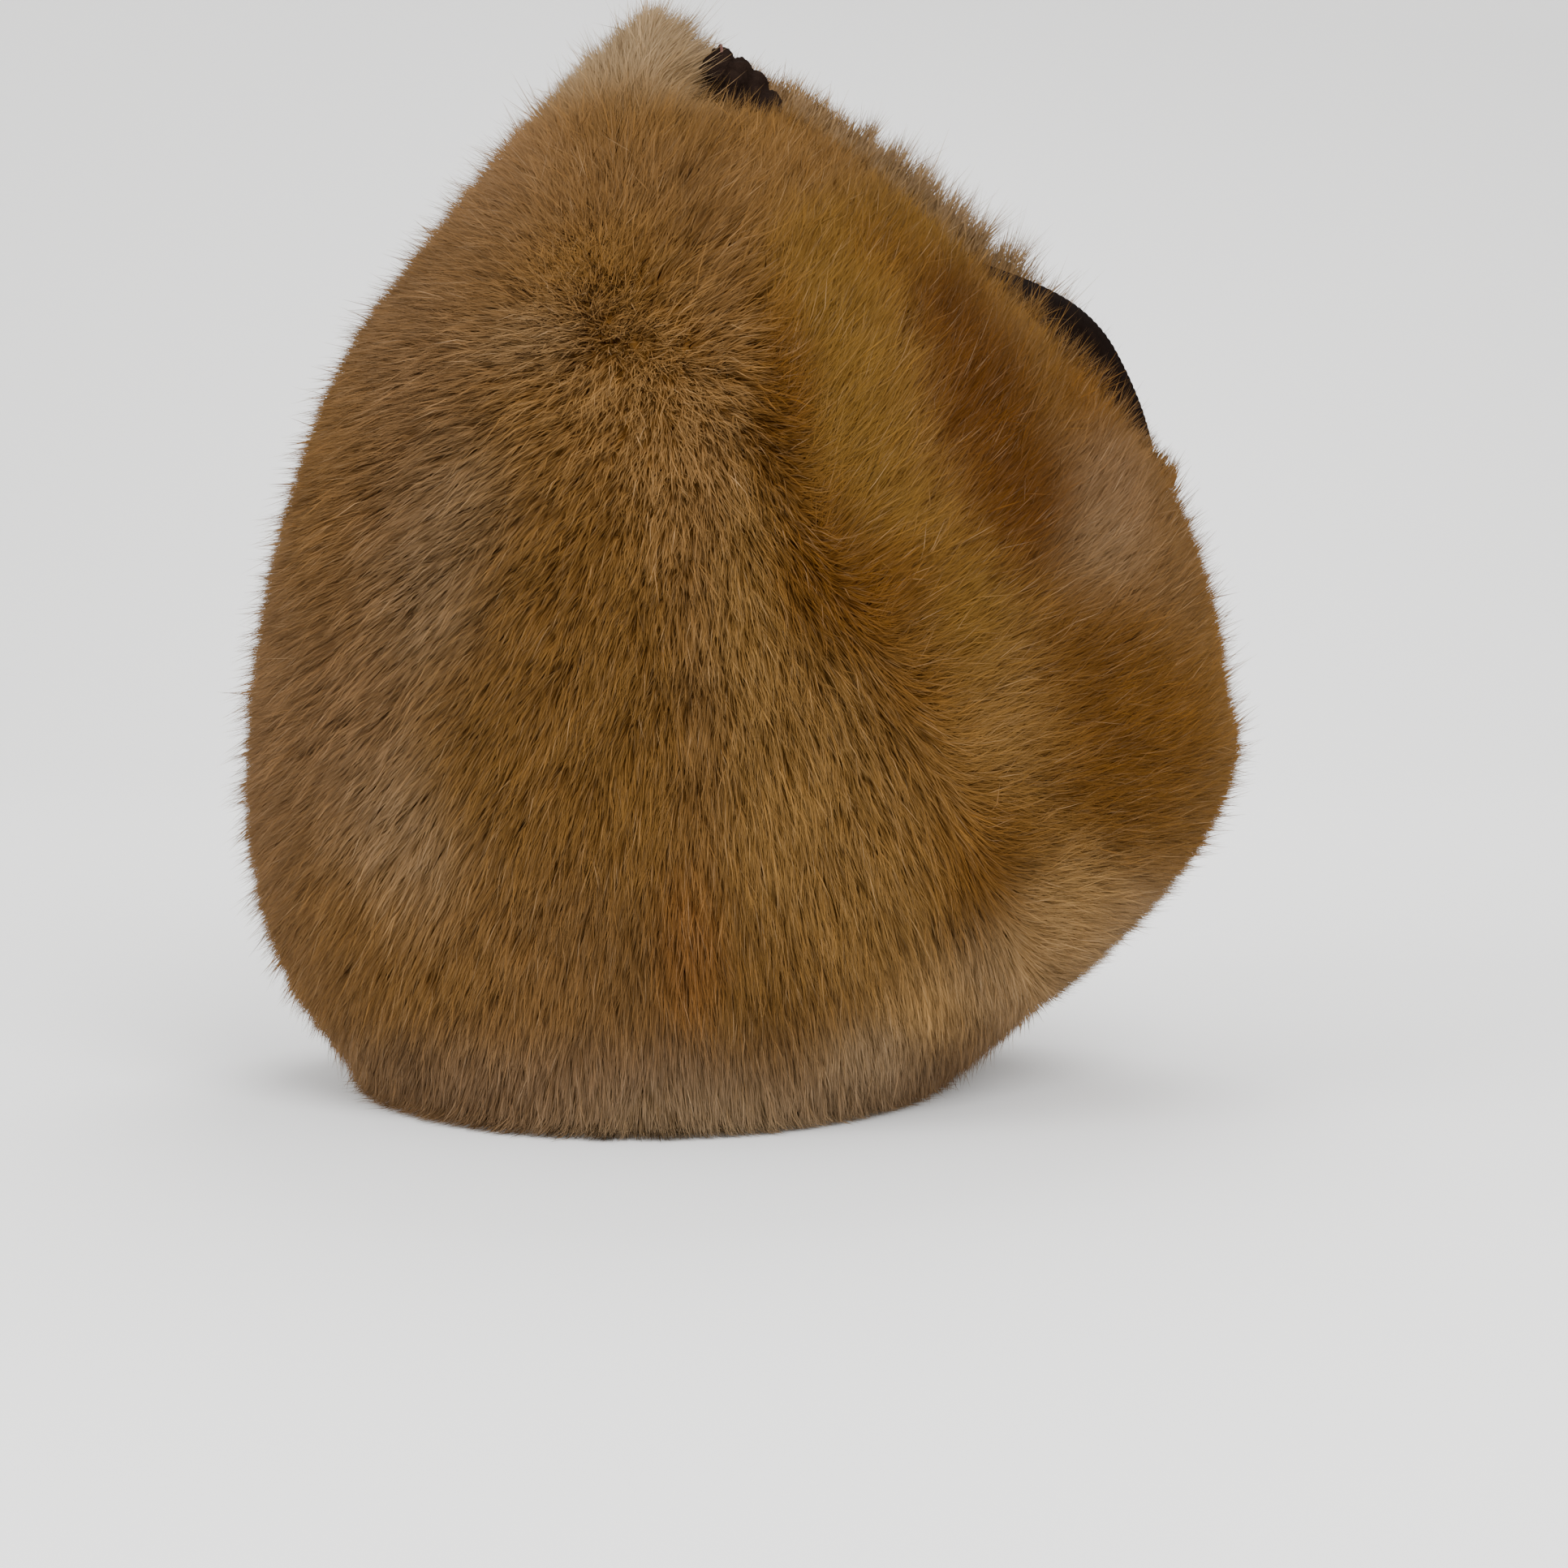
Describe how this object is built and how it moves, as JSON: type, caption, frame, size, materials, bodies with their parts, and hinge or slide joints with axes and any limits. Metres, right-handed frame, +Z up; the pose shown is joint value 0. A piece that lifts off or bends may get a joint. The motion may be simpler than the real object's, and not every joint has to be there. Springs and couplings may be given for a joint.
{
  "type": "fur hat",
  "caption": "Tall bulbous fur hat of tapering pelts sewn in a ring, open below for the head, with a ribbed cloth panel in a sloping slot on top and a gathered knot at the peak.",
  "frame": {"origin": "on the floor that the hem stands on, under the middle of the whole hat", "axes": "+Z up, out of the peak; the peak is towards -X and the slot runs down from it towards +X; the side seen in the picture faces -Y"},
  "size_m": [0.2562, 0.261, 0.2726],
  "materials": {
    "fur": "deep honey-brown fur on leather",
    "woven_cloth": "matt, finely ribbed"
  },
  "bodies": {
    "root": {"pelt_01": "fur", "pelt_02": "fur", "pelt_03": "fur", "pelt_04": "fur", "pelt_05": "fur", "pelt_06": "fur", "pelt_07": "fur", "pelt_08": "fur", "pelt_09": "fur", "pelt_10": "fur", "pelt_11": "fur", "pelt_12": "fur", "woven_crown": "woven_cloth", "gathered_knot": "woven_cloth"}
  },
  "joints": []
}
